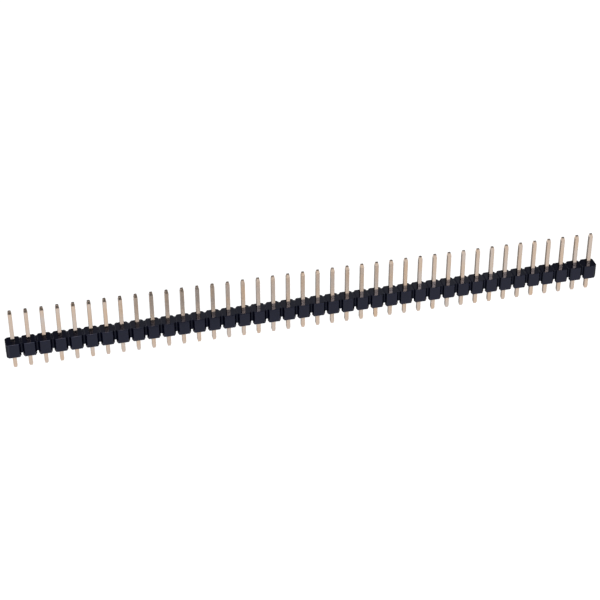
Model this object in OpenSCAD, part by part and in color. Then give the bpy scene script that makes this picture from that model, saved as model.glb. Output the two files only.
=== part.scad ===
// Straight single-row pin header strip: a moulded insulator of joined cells, each holding one square pin.
// Millimetres. The origin is the middle of the pin row, in the plane of the insulator's underside.
// +X runs along the row, +Z points up the mating ends of the pins, and the solder tails hang below z = 0.

/* [Strip] */
// Number of cells in the insulator, with one pin in each
pin_count = 40; // [2:1:59]
// Distance from one pin to the next
pitch = 2.54; // [2:0.02:5.08]

/* [Insulator] */
// Thickness of the insulator across the row
body_w = 2.54; // [1.6:0.02:5.08]
// Height of the insulator, from its underside to its top
body_h = 2.54; // [1.6:0.02:8.5]
// Width of the break groove between two cells where it opens on the faces
groove_mouth = 0.92; // [0.6:0.02:1.3]
// Depth of the break groove, from the faces to the neck that joins two cells
groove_depth = 0.4; // [0.1:0.02:0.6]
// Length of the thin neck between two cells, along the row
neck_len = 0.24; // [0.1:0.02:0.4]
// Depth of the shallow score across the top of each neck
score_depth = 0.08; // [0.02:0.02:0.3]
// Height of the slot under each neck, from the underside
slot_h = 0.6; // [0.3:0.02:1.2]
// Width of that slot in the middle of the strip; it narrows to the neck's length where it meets the grooves
slot_w = 0.9; // [0.5:0.02:1.1]
// How far behind the bottom of each groove the slot reaches that width
slot_flare = 0.2; // [0.1:0.02:0.5]
// Bevel on the foot of each cell, from the sides of the neck down to the underside
foot_bevel = 0.22; // [0.05:0.01:0.29]
// Bevel on the upright corners at both ends of the strip
end_bevel = 0.46; // [0.1:0.02:0.7]
// Radius on the long top and bottom edges
edge_r = 0.1; // [0.02:0.01:0.3]

/* [Pins] */
// Side of the square wire
pin_w = 0.64; // [0.4:0.02:0.9]
// Radius on the wire's long corners
wire_r = 0.05; // [0.02:0.01:0.12]
// Length of the mating end above the insulator
mating_len = 5.84; // [3:0.02:15]
// Length of the solder tail below the insulator
tail_len = 2.54; // [1.5:0.02:6]
// Clearance all round between a pin and its hole, none for the press fit
pin_clearance = 0; // [0:0.01:0.05]

/* [Pin ends] */
// Length of the four bevels at the mating end
mating_bevel_len = 0.5; // [0.1:0.02:1.5]
// How far each of those bevels cuts in from the wire's side
mating_bevel_in = 0.1; // [0.04:0.01:0.19]
// Length of the four bevels at the end of the solder tail
tail_bevel_len = 0.4; // [0.1:0.02:1.2]
// How far each of those bevels cuts in from the wire's side
tail_bevel_in = 0.09; // [0.04:0.01:0.19]

/* [Hidden] */
$fn = 48;
through = 1; // how far a cut runs past the face that it leaves
strip_l = pin_count * pitch;
pin_top = body_h + mating_len;
pin_bottom = -tail_len;
hole_w = pin_w + 2 * pin_clearance;

function pin_name(i) = str("pin_", i < 9 ? "0" : "", i + 1);
function pin_x(i) = (i - (pin_count - 1) / 2) * pitch;
function neck_x(i) = pin_x(i) + pitch / 2;

// Square with rounded corners, centred on the origin
module rounded_square(w, h, r) {
    for (x = [-w / 2 + r, w / 2 - r], y = [-h / 2 + r, h / 2 - r])
        translate([x, y]) circle(r);
    square([w, h - 2 * r], center = true);
    square([w - 2 * r, h], center = true);
}

// Plan of the strip before the grooves are cut, with its four corners bevelled
module strip_plan() {
    x = strip_l / 2;
    y = body_w / 2;
    b = end_bevel;
    polygon([[-x, -y + b], [-x + b, -y], [x - b, -y], [x, -y + b],
             [x, y - b], [x - b, y], [-x + b, y], [-x, y - b]]);
}

// Plan of one break groove in the front face, flat at its bottom and flared to its mouth
module groove_plan() {
    flare = (groove_mouth - neck_len) / 2 / groove_depth;
    mouth = groove_mouth / 2 + flare * through;
    y = body_w / 2;
    polygon([[-neck_len / 2, -y + groove_depth], [-mouth, -y - through],
             [mouth, -y - through], [neck_len / 2, -y + groove_depth]]);
}

// Plan of the slot under one neck: as wide as the neck in the grooves, and wider between them
module slot_plan() {
    n = neck_len / 2;
    w = slot_w / 2;
    y_end = body_w / 2 + through;
    y_neck = body_w / 2 - groove_depth;
    y_wide = y_neck - slot_flare;
    polygon([[-n, -y_end], [n, -y_end], [n, -y_neck], [w, -y_wide], [w, y_wide], [n, y_neck],
             [n, y_end], [-n, y_end], [-n, y_neck], [-w, y_wide], [-w, -y_wide], [-n, -y_neck]]);
}

// Front view of the opening between the foot bevels of two cells
module foot_front() {
    n = neck_len / 2;
    foot = n + foot_bevel + through;
    polygon([[-n, foot_bevel], [-foot, -through], [foot, -through], [n, foot_bevel]]);
}

// Front view of the score across one neck, with its sides at 45 degrees
module score_front() {
    mouth = neck_len / 2 + score_depth + through;
    polygon([[-neck_len / 2, body_h - score_depth], [neck_len / 2, body_h - score_depth],
             [mouth, body_h + through], [-mouth, body_h + through]]);
}

// Rounded sections of the whole strip, seen from its end and from its front
module end_section() {
    rotate([90, 0, 90])
        linear_extrude(strip_l + 2 * through, center = true)
            translate([0, body_h / 2]) rounded_square(body_w, body_h, edge_r);
}

module front_section() {
    rotate([90, 0, 0])
        linear_extrude(body_w + 2 * through, center = true)
            translate([0, body_h / 2]) rounded_square(strip_l, body_h, edge_r);
}

module insulator() {
    color([0.06, 0.06, 0.08]) difference() {
        intersection() {
            linear_extrude(body_h) difference() {
                strip_plan();
                for (i = [0 : pin_count - 2]) translate([neck_x(i), 0]) {
                    groove_plan();
                    mirror([0, 1]) groove_plan();
                }
                for (i = [0 : pin_count - 1])
                    translate([pin_x(i), 0]) square(hole_w, center = true);
            }
            end_section();
            front_section();
        }
        for (i = [0 : pin_count - 2]) translate([neck_x(i), 0, 0]) {
            translate([0, 0, -through]) linear_extrude(slot_h + through) slot_plan();
            rotate([90, 0, 0]) linear_extrude(2 * body_w, center = true) {
                foot_front();
                score_front();
            }
        }
    }
}

// Side view of a pin, across its width and up its length, with its bevelled ends
module pin_side() {
    s = pin_w / 2;
    m = s - mating_bevel_in;
    t = s - tail_bevel_in;
    polygon([[-t, pin_bottom], [t, pin_bottom], [s, pin_bottom + tail_bevel_len],
             [s, pin_top - mating_bevel_len], [m, pin_top], [-m, pin_top],
             [-s, pin_top - mating_bevel_len], [-s, pin_bottom + tail_bevel_len]]);
}

module pin(i) {
    color([0.80, 0.71, 0.62]) translate([pin_x(i), 0, 0]) intersection() {
        translate([0, 0, pin_bottom])
            linear_extrude(pin_top - pin_bottom) rounded_square(pin_w, pin_w, wire_r);
        rotate([90, 0, 0]) linear_extrude(2 * pin_w, center = true) pin_side();
        rotate([90, 0, 90]) linear_extrude(2 * pin_w, center = true) pin_side();
    }
}

insulator();
for (i = [0 : pin_count - 1]) pin(i);
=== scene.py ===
import math

import bmesh
import bpy
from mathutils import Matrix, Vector


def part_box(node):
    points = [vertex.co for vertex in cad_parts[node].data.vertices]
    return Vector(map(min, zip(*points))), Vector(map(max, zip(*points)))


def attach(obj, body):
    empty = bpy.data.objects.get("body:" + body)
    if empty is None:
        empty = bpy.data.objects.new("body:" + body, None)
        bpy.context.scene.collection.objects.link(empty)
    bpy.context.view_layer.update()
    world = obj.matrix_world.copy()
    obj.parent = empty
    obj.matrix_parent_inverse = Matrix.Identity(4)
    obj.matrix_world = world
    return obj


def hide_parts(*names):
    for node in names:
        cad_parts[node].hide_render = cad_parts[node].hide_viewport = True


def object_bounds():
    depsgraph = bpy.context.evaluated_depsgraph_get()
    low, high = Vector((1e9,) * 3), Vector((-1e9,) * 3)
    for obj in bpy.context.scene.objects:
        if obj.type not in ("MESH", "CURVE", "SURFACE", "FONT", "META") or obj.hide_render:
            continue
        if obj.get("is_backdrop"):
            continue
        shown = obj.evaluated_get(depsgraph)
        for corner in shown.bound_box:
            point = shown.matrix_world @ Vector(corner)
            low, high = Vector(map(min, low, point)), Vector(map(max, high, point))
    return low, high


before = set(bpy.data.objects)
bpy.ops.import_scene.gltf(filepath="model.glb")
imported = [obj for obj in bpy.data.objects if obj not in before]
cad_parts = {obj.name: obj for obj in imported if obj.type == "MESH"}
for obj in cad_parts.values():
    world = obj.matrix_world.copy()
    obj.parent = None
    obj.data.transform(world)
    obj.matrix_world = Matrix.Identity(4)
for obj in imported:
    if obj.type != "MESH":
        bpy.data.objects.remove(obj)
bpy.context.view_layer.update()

# Camera. A long lens, as close-up product work uses, looking down on the strip from its front left.
# It is aimed at the middle of the row, level with the top of the insulator.
view_azimuth = math.radians(-13.68)
view_elevation = math.radians(34.08)
view_distance = 0.281
lens_length = 100.66         # in millimetres, on Blender's usual 36 mm film
strip_low, strip_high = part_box("insulator")
aim = Vector((-0.0006, 0.0001, strip_high.z))
frame_shift = (-0.0108, 0.0008)


def towards(azimuth, elevation):
    """The direction at these angles, in radians, round from the front and up from level."""
    level = math.cos(elevation)
    return Vector((math.sin(azimuth) * level, -math.cos(azimuth) * level, math.sin(elevation)))


towards_camera = towards(view_azimuth, view_elevation)
camera_data = bpy.data.cameras.new("camera")
camera_data.lens = lens_length
camera_data.shift_x, camera_data.shift_y = frame_shift
camera_data.clip_start = 0.01
camera_data.clip_end = 20
camera = bpy.data.objects.new("camera", camera_data)
camera.location = aim + view_distance * towards_camera
camera.rotation_mode = "QUATERNION"
camera.rotation_quaternion = towards_camera.to_track_quat("Z", "Y")
bpy.context.scene.collection.objects.link(camera)
bpy.context.scene.camera = camera

# Insulator. One moulding in black glass-filled thermoplastic: a row of eight-sided cells joined by thin
# necks, so that the strip can be snapped to any length. Every edge leaves the mould slightly rounded, and
# the fibres give a fine, uneven satin skin. The break grooves carry painted shade: a dark diffuse without
# shine stands in for the shade that falls in them.
mm = 0.001
hair = mm / 10000            # closer than this counts as touching
pin_names = sorted(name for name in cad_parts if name.startswith("pin_"))
cell_count = len(pin_names)
first_low, first_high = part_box(pin_names[0])
wire = first_high.x - first_low.x
pitch = (strip_high.x - strip_low.x) / cell_count
strip_width = strip_high.y - strip_low.y
strip_height = strip_high.z - strip_low.z
neck = 0.24 * mm             # length of a neck along the row
groove_mouth = 0.92 * mm
groove_depth = 0.4 * mm
score = 0.08 * mm            # depth of the score across a neck
slot_height = 0.6 * mm
slot_width = 0.9 * mm        # in the middle of the strip
slot_flare = 0.2 * mm        # how far behind a groove the slot reaches that width
foot_bevel = 0.22 * mm
end_bevel = 0.46 * mm
long_edge = 0.1 * mm         # radius on the long top and bottom edges
small_edge = 0.03 * mm       # radius on every other edge
pin_gap = 0.008 * mm         # hair line round each pin where it enters
wall = pitch / 2 - neck / 2  # how far a cell's side is from its pin
neck_edge = strip_width / 2 - groove_depth


def start_piece(name, low_x, high_x, width, low_z, high_z):
    """A block between these limits, in edit mode, with nothing else selected."""
    bpy.ops.object.select_all(action="DESELECT")
    bpy.ops.mesh.primitive_cube_add(
        size=1,
        location=((low_x + high_x) / 2, 0, (low_z + high_z) / 2),
        scale=(high_x - low_x, width, high_z - low_z),
    )
    block = bpy.context.object
    block.name = block.data.name = name
    bpy.ops.object.transform_apply(location=True, rotation=False, scale=True)
    bpy.ops.object.mode_set(mode="EDIT")
    return block


def cut_off(point, outwards):
    """Slices away all that lies beyond a plane and closes the cut."""
    bpy.ops.mesh.select_all(action="SELECT")
    bpy.ops.mesh.bisect(
        plane_co=point,
        plane_no=Vector(outwards).normalized(),
        use_fill=True,
        clear_outer=True,
        threshold=hair,
    )


def select_faces(block, wanted):
    """Selects the faces whose normal and middle pass the test."""
    shape = bmesh.from_edit_mesh(block.data)
    bpy.ops.mesh.select_mode(type="FACE")
    bpy.ops.mesh.select_all(action="DESELECT")
    for face in shape.faces:
        face.select_set(wanted(face.normal, face.calc_center_median()))
    bmesh.update_edit_mesh(block.data)


def select_edges(block, wanted):
    """Selects the edges whose two ends pass the test."""
    shape = bmesh.from_edit_mesh(block.data)
    bpy.ops.mesh.select_mode(type="EDGE")
    bpy.ops.mesh.select_all(action="DESELECT")
    for edge in shape.edges:
        edge.select_set(wanted(edge.verts[0].co, edge.verts[1].co))
    bmesh.update_edit_mesh(block.data)


def cut_with(block, cutter):
    """Takes the cutter's shape out of the block and goes back to editing the block."""
    bpy.ops.object.mode_set(mode="OBJECT")
    bpy.ops.object.select_all(action="DESELECT")
    block.select_set(True)
    bpy.context.view_layer.objects.active = block
    cut = block.modifiers.new("cut", "BOOLEAN")
    cut.operation = "DIFFERENCE"
    cut.object = cutter
    cut.solver = "EXACT"
    bpy.ops.object.modifier_apply(modifier=cut.name)
    bpy.data.objects.remove(cutter)
    bpy.ops.object.mode_set(mode="EDIT")


def open_half_slot(block, side):
    """Cuts this cell's half of the slot, which widens behind the grooves."""
    bpy.ops.object.mode_set(mode="OBJECT")
    inner = side * (pitch / 2 - slot_width / 2)
    outer = side * (pitch / 2 + mm)
    low_x, high_x = min(inner, outer), max(inner, outer)
    cutter = start_piece("slot_cutter", low_x, high_x, 2 * neck_edge, -mm, slot_height)
    run = slot_width / 2 - neck / 2
    for front in (-1, 1):
        cut_off((side * wall, front * neck_edge, 0), (-side * slot_flare, front * run, 0))
    cut_with(block, cutter)


def shape_inner_side(block, side):
    """Cuts the foot bevel and the halves of the score, slot and grooves where another cell follows."""
    cut_off((side * wall, 0, foot_bevel), (side, 0, -1))
    cut_off((side * wall, 0, strip_height - score), (side, 0, 1))
    open_half_slot(block, side)
    mouth = pitch / 2 - groove_mouth / 2
    for front in (-1, 1):
        start = (side * mouth, front * strip_width / 2, 0)
        cut_off(start, (side * groove_depth, front * (wall - mouth), 0))


def shape_end_side(side):
    """Bevels the two upright corners at an end of the strip."""
    for front in (-1, 1):
        cut_off((side * pitch / 2, front * (strip_width / 2 - end_bevel), 0), (side, front, 0))


def round_long_edges(block):
    """Rounds the level edges of the front and back faces and of the strip's flat ends."""
    def outer(axis, half):
        return lambda a, b: abs(abs(a[axis]) - half) < hair and abs(abs(b[axis]) - half) < hair

    on_face = outer(1, strip_width / 2)
    on_end = outer(0, pitch / 2)
    select_edges(block, lambda a, b: abs(a.z - b.z) < hair and (on_face(a, b) or on_end(a, b)))
    bpy.ops.mesh.bevel(offset=long_edge, segments=4)


def open_square_hole(block):
    """Cuts the pin's hole through the cell."""
    bpy.ops.object.mode_set(mode="OBJECT")
    half = wire / 2 + pin_gap
    cut_with(block, start_piece("hole_cutter", -half, half, 2 * half, -mm, strip_height + mm))


def draw_half_neck(block, side):
    """Draws half a neck out of the cell's side and leaves it open for the next cell."""
    select_faces(block, lambda normal, middle: abs(middle.x - side * wall) < hair)
    bpy.ops.mesh.extrude_region_move(TRANSFORM_OT_translate={"value": (side * neck / 2, 0, 0)})
    bpy.ops.mesh.delete(type="FACE")


def round_edges(block, radius, segments):
    """Rounds every edge that turns more than the steps of the rounding already there."""
    rounding = block.modifiers.new("rounding", "BEVEL")
    rounding.width = radius
    rounding.segments = segments
    rounding.limit_method = "ANGLE"
    rounding.angle_limit = math.radians(25)
    rounding.harden_normals = True
    bpy.ops.object.modifier_apply(modifier=rounding.name)


def copy_piece(original, name):
    """A copy of a finished piece, with a mesh of its own."""
    bpy.ops.object.select_all(action="DESELECT")
    original.select_set(True)
    bpy.context.view_layer.objects.active = original
    bpy.ops.object.duplicate(linked=False)
    copy = bpy.context.object
    copy.name = copy.data.name = name
    return copy


def move_mesh(piece, offset):
    """Moves a piece's mesh and leaves its object at the origin."""
    bpy.ops.object.select_all(action="DESELECT")
    piece.select_set(True)
    bpy.context.view_layer.objects.active = piece
    bpy.ops.object.mode_set(mode="EDIT")
    bpy.ops.mesh.select_all(action="SELECT")
    bpy.ops.transform.translate(value=offset)
    bpy.ops.object.mode_set(mode="OBJECT")


last_place = (cell_count - 1) / 2 * pitch
left_end = start_piece("left_end_cell", -pitch / 2, wall, strip_width, 0, strip_height)
shape_end_side(-1)
shape_inner_side(left_end, 1)
round_long_edges(left_end)
open_square_hole(left_end)
draw_half_neck(left_end, 1)
bpy.ops.object.mode_set(mode="OBJECT")
move_mesh(left_end, (-last_place, 0, 0))
right_end = copy_piece(left_end, "right_end_cell")
bpy.ops.object.mode_set(mode="EDIT")
bpy.ops.mesh.select_all(action="SELECT")
bpy.ops.transform.resize(value=(-1, 1, 1), center_override=(0, 0, 0))
bpy.ops.object.mode_set(mode="OBJECT")

strip = start_piece("insulator_moulding", -wall, wall, strip_width, 0, strip_height)
shape_inner_side(strip, -1)
shape_inner_side(strip, 1)
round_long_edges(strip)
open_square_hole(strip)
draw_half_neck(strip, -1)
draw_half_neck(strip, 1)
bpy.ops.object.mode_set(mode="OBJECT")
row = strip.modifiers.new("row", "ARRAY")
row.use_relative_offset = False
row.use_constant_offset = True
row.constant_offset_displace = (pitch, 0, 0)
row.count = cell_count - 2
bpy.ops.object.modifier_apply(modifier=row.name)
move_mesh(strip, (pitch - last_place, 0, 0))
left_end.select_set(True)
right_end.select_set(True)
bpy.ops.object.join()
bpy.ops.object.mode_set(mode="EDIT")
bpy.ops.mesh.select_all(action="SELECT")
bpy.ops.mesh.remove_doubles(threshold=hair)
bpy.ops.mesh.normals_make_consistent(inside=False)
bpy.ops.object.mode_set(mode="OBJECT")
round_edges(strip, small_edge, 2)


class Signal:
    """A value in a material's node tree, which Python's arithmetic extends with Math nodes."""

    def __init__(self, tree, socket):
        self.tree = tree
        self.socket = socket

    def maths(self, operation, *values):
        return self.node("ShaderNodeMath", {"operation": operation}, dict(enumerate(values)))

    def node(self, kind, settings=None, inputs=None, output=0):
        """Adds a node with these settings and inputs, and gives one of its outputs, if it has any."""
        made = self.tree.nodes.new(kind)
        for name, value in (settings or {}).items():
            setattr(made, name, value)
        for name, value in (inputs or {}).items():
            if isinstance(value, Signal):
                self.tree.links.new(value.socket, made.inputs[name])
            else:
                made.inputs[name].default_value = value
        if made.outputs:
            return Signal(self.tree, made.outputs[output])

    def __add__(self, other):
        return self.maths("ADD", self, other)

    def __sub__(self, other):
        return self.maths("SUBTRACT", self, other)

    def __rsub__(self, other):
        return self.maths("SUBTRACT", other, self)

    def __mul__(self, other):
        return self.maths("MULTIPLY", self, other)

    def __abs__(self):
        return self.maths("ABSOLUTE", self)

    __radd__ = __add__
    __rmul__ = __mul__


def new_material(name):
    """An empty material, and the piece's own coordinates, in metres, that its nodes start from."""
    material = bpy.data.materials.new(name)
    material.use_nodes = True
    tree = material.node_tree
    tree.nodes.clear()
    coordinates = tree.nodes.new("ShaderNodeTexCoord")
    return material, Signal(tree, coordinates.outputs["Object"])


def finish_material(surface):
    """Connects the last shader to the material's output."""
    surface.node("ShaderNodeOutputMaterial", inputs={"Surface": surface})


def grain(place, size, detail=2.0, stretch=(1, 1, 1)):
    """Noise from 0 to 1 whose blotches are about this size, in metres, longer along a stretched axis."""
    scaled = place.node("ShaderNodeVectorMath", {"operation": "MULTIPLY"}, {
        0: place, 1: tuple(1 / (size * share) for share in stretch)})
    return place.node("ShaderNodeTexNoise", inputs={"Vector": scaled, "Scale": 1.0, "Detail": detail})


def blend_colours(amount, low, high):
    """The low colour where the amount is 0, the high colour where it is 1."""
    return amount.node("ShaderNodeMix", {"data_type": "RGBA"}, {0: amount, 6: low, 7: high}, output=2)


def ramp(value, start, end, low, high):
    """Goes smoothly from low to high as the value goes from start to end."""
    return value.node("ShaderNodeMapRange", {"interpolation_type": "SMOOTHSTEP"}, {
        "Value": value, "From Min": start, "From Max": end, "To Min": low, "To Max": high})


def part_of(place, axis):
    """One coordinate of a place."""
    return place.node("ShaderNodeSeparateXYZ", inputs={0: place}, output=axis)


dark_black = (0.0004, 0.0006, 0.003, 1)
light_black = (0.0011, 0.0015, 0.0062, 1)
# Painted shade: the colour of the dark diffuse that replaces the shine in the break grooves.
groove_shade_colour = (0.001, 0.0013, 0.003, 1)
groove_shade_amount = 0.5        # share of painted shade, a dark diffuse without shine, in the break grooves
black_plastic, place = new_material("black_plastic")
cloud = grain(place, 1.1 * mm)
fibre = grain(place, 0.09 * mm, detail=3.0, stretch=(3, 1, 1))
pores = grain(place, 0.03 * mm)
skin = place.node("ShaderNodeBump", inputs={
    "Strength": 0.35, "Distance": 0.003 * mm, "Height": 0.7 * fibre + 0.3 * pores})
satin = place.node("ShaderNodeBsdfPrincipled", inputs={
    "Base Color": blend_colours(cloud, dark_black, light_black),
    "Roughness": 0.04 + 0.06 * fibre + 0.04 * cloud,
    "Normal": skin,
    "IOR": 1.4,
    "Specular Tint": (0.67, 0.71, 1.0, 1),
})
along = part_of(place, "X")
from_joint = abs(along.maths("WRAP", along, pitch / 2, -pitch / 2))
near_joint = ramp(from_joint, 0.3 * mm, 0.4 * mm, 1.0, 0.0)
face = strip_width / 2
behind_face = ramp(abs(part_of(place, "Y")), face - 0.15 * mm, face - 0.05 * mm, 1.0, 0.0)
below_score = ramp(part_of(place, "Z"), strip_height - 2 * score, strip_height - score, 1.0, 0.0)
# Painted shade: in the break grooves a dark diffuse replaces the satin shine, standing in for the shade that
# falls there.
painted_shade_mask = near_joint * behind_face * below_score
shade_diffuse = place.node("ShaderNodeBsdfDiffuse", inputs={"Color": groove_shade_colour})
painted_shade_mix = groove_shade_amount * painted_shade_mask
finish_material(place.node("ShaderNodeMixShader", inputs={0: painted_shade_mix, 1: satin, 2: shade_diffuse}))
strip.data.materials.clear()
strip.data.materials.append(black_plastic)
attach(strip, "root")
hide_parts("insulator")

# Pins. Square drawn brass wire, thinly plated to a pale champagne gold, cut to length with a four-sided
# point at each end and pressed through the cells. Drawing leaves fine lines along the wire, and the cut
# ends show bare, darker metal.
corner = 0.05 * mm           # radius on the wire's long corners
tip_edge = 0.025 * mm        # radius round each cut end
mating_point = 0.5 * mm
mating_inset = 0.1 * mm
tail_point = 0.4 * mm
tail_inset = 0.09 * mm
flat_enough = 0.97           # share along an axis that tells a flat's normal from a rounded corner's


def draw_point(block, end, length, inset):
    """Draws the wire out to its end over this length, as the four sides slope in."""
    select_faces(block, lambda normal, middle: abs(middle.z - (end - length)) < hair)
    bpy.ops.mesh.extrude_region_move(TRANSFORM_OT_translate={"value": (0, 0, length)})
    narrow = 1 - 2 * inset / wire
    bpy.ops.transform.resize(value=(narrow, narrow, 1), center_override=(0, 0, end))


tip = first_high.z
tail = first_low.z
pin = start_piece("pin", -wire / 2, wire / 2, wire, tail + tail_point, tip - mating_point)
draw_point(pin, tip, mating_point, mating_inset)
draw_point(pin, tail, -tail_point, tail_inset)
select_edges(pin, lambda a, b: abs(a.z - b.z) > hair)
bpy.ops.mesh.bevel(offset=corner, segments=3)
select_edges(pin, lambda a, b: min(a.z, b.z) > tip - hair or max(a.z, b.z) < tail + hair)
bpy.ops.mesh.bevel(offset=tip_edge, segments=2)

# The wire's flats and the points' facets are shaded flat, and only the corners between them are smooth.
tail_shoulder = tail + tail_point
tip_shoulder = tip - mating_point
for level in (tip_shoulder, tail_shoulder):
    select_edges(pin, lambda a, b: abs(a.z - level) < corner and abs(b.z - level) < corner)
    bpy.ops.mesh.mark_sharp()
bpy.ops.mesh.select_all(action="SELECT")
bpy.ops.mesh.faces_shade_smooth()
for along_wire in (True, False):
    select_faces(pin, lambda normal, middle: max(abs(share) for share in normal) > flat_enough
                 and (tail_shoulder < middle.z < tip_shoulder) == along_wire)
    bpy.ops.mesh.set_normals_from_faces(keep_sharp=True)
bpy.ops.object.mode_set(mode="OBJECT")

cool_plating = (0.52, 0.50, 0.50, 1)
warm_plating = (0.60, 0.40, 0.24, 1)
cut_brass = (0.22, 0.16, 0.12, 1)
pale_gold, place = new_material("pale_gold_plating")
lines = grain(place, 0.02 * mm, detail=2.0, stretch=(1, 1, 60))
stain = grain(place, 2.0 * mm, detail=3.0, stretch=(1, 1, 2))
drawn = place.node("ShaderNodeBump", inputs={"Strength": 0.25, "Distance": 0.0006 * mm, "Height": lines})
from_middle = abs(part_of(place, "Z") - (tip + tail) / 2)
half_length = (tip - tail) / 2
bare = ramp(from_middle, half_length - tip_edge, half_length - tip_edge / 4, 0.0, 1.0)
plated = blend_colours(stain, cool_plating, warm_plating)
finish_material(place.node("ShaderNodeBsdfPrincipled", inputs={
    "Base Color": blend_colours(bare, plated, cut_brass),
    "Metallic": 1.0,
    "Roughness": 0.09 + 0.06 * lines + 0.05 * stain + 0.15 * bare,
    "Normal": drawn,
}))
pin.data.materials.clear()
pin.data.materials.append(pale_gold)
for name in pin_names:
    low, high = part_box(name)
    fitted = copy_piece(pin, name.replace("pin", "fitted_pin"))
    move_mesh(fitted, ((low.x + high.x) / 2, 0, 0))
    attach(fitted, "root")
    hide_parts(name)
bpy.data.objects.remove(pin)

# Floor, light and surroundings. A pale table below the strip, two soft lamps, and a room that is pale at the
# horizon, darker above it and lighter again overhead, with a dim panel high behind. Grey cards on the table,
# which only reflections see, give the polished pins their darker sides and points.
floor_drop = 40 * mm
floor_level = tail - floor_drop
floor_size = 6
floor_glow = 0.6             # share of a plain white glow where the floor is seen or mirrored
bpy.ops.object.select_all(action="DESELECT")
bpy.ops.mesh.primitive_plane_add(size=floor_size, location=(0, 0, floor_level))
floor = bpy.context.object
floor.name = "floor"
floor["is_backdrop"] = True
pale_table, place = new_material("pale_table")
seen = sum(place.node("ShaderNodeLightPath", output=ray) for ray in (
    "Is Camera Ray", "Is Glossy Ray", "Is Transmission Ray"))
paper = place.node("ShaderNodeBsdfDiffuse", inputs={"Color": (0.95, 0.95, 0.95, 1)})
glow = place.node("ShaderNodeEmission", inputs={"Color": (1, 1, 1, 1), "Strength": 1.0})
finish_material(place.node("ShaderNodeMixShader", inputs={0: floor_glow * seen, 1: paper, 2: glow}))
floor.data.materials.append(pale_table)


def add_lamp(name, azimuth, elevation, spread, brightness):
    """A round soft lamp, so far off that it looks the same from all along the strip. Angles in degrees."""
    azimuth, elevation, spread = math.radians(azimuth), math.radians(elevation), math.radians(spread)
    data = bpy.data.lights.new(name, "SUN")
    data.angle = spread
    data.energy = brightness * math.pi * math.sin(spread / 2) ** 2
    lamp = bpy.data.objects.new(name, data)
    towards_lamp = towards(azimuth, elevation)
    lamp.rotation_mode = "QUATERNION"
    lamp.rotation_quaternion = towards_lamp.to_track_quat("Z", "Y")
    bpy.context.scene.collection.objects.link(lamp)


add_lamp("overhead_lamp", -20, 62, 40, 6.0)
add_lamp("front_lamp", 21, 44, 24, 9.0)


def lay_card(name, low_x, high_x, low_y, high_y, brightness):
    """A grey card just above the table that shows only in reflections, with its limits in millimetres."""
    outline = ((low_x, low_y), (high_x, low_y), (high_x, high_y), (low_x, high_y))
    shape = bpy.data.meshes.new(name)
    shape.from_pydata([(x * mm, y * mm, floor_level + mm) for x, y in outline], [], [(0, 1, 2, 3)])
    card = bpy.data.objects.new(name, shape)
    bpy.context.scene.collection.objects.link(card)
    paint, place = new_material(name)
    finish_material(place.node("ShaderNodeEmission", inputs={
        "Color": (brightness, brightness, brightness, 1), "Strength": 1.0}))
    shape.materials.append(paint)
    card.visible_camera = False
    card.visible_diffuse = False
    card.visible_shadow = False
    card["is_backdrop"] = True


lay_card("card_behind", -90, 150, 45, 95, 0.37)
lay_card("card_at_right", 95, 140, 8, 44, 0.2)
lay_card("card_front_left", -23, -1, -78, -65.5, 0.29)
lay_card("card_front_middle", -0.5, 38, -78, -65.5, 0.73)
lay_card("card_in_front", -100, 25, -400, -190, 0.05)

room = bpy.data.worlds.new("room")
room.use_nodes = True
room.node_tree.nodes.clear()
direction = Signal(room.node_tree, room.node_tree.nodes.new("ShaderNodeTexCoord").outputs["Generated"])
height = part_of(direction, "Z")
horizon = ramp(height, 0.1, 0.35, 0.9, 0.11)
overhead = ramp(height, 0.65, 0.9, 0.0, 0.6)
panel_direction = (0.197, 0.802, 0.5635)
panel_edge = math.cos(math.radians(9))
panel_rim = math.cos(math.radians(6.5))
towards_panel = direction.node("ShaderNodeVectorMath", {"operation": "DOT_PRODUCT"}, {
    0: direction, 1: panel_direction}, output="Value")
panel = ramp(towards_panel, panel_edge, panel_rim, 0.0, 0.3)
brightness = horizon + overhead + panel
background = direction.node("ShaderNodeBackground", inputs={"Color": brightness, "Strength": 1.0})
direction.node("ShaderNodeOutputWorld", inputs={"Surface": background})
bpy.context.scene.world = room
bpy.context.scene.view_settings.view_transform = "Standard"

low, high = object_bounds()
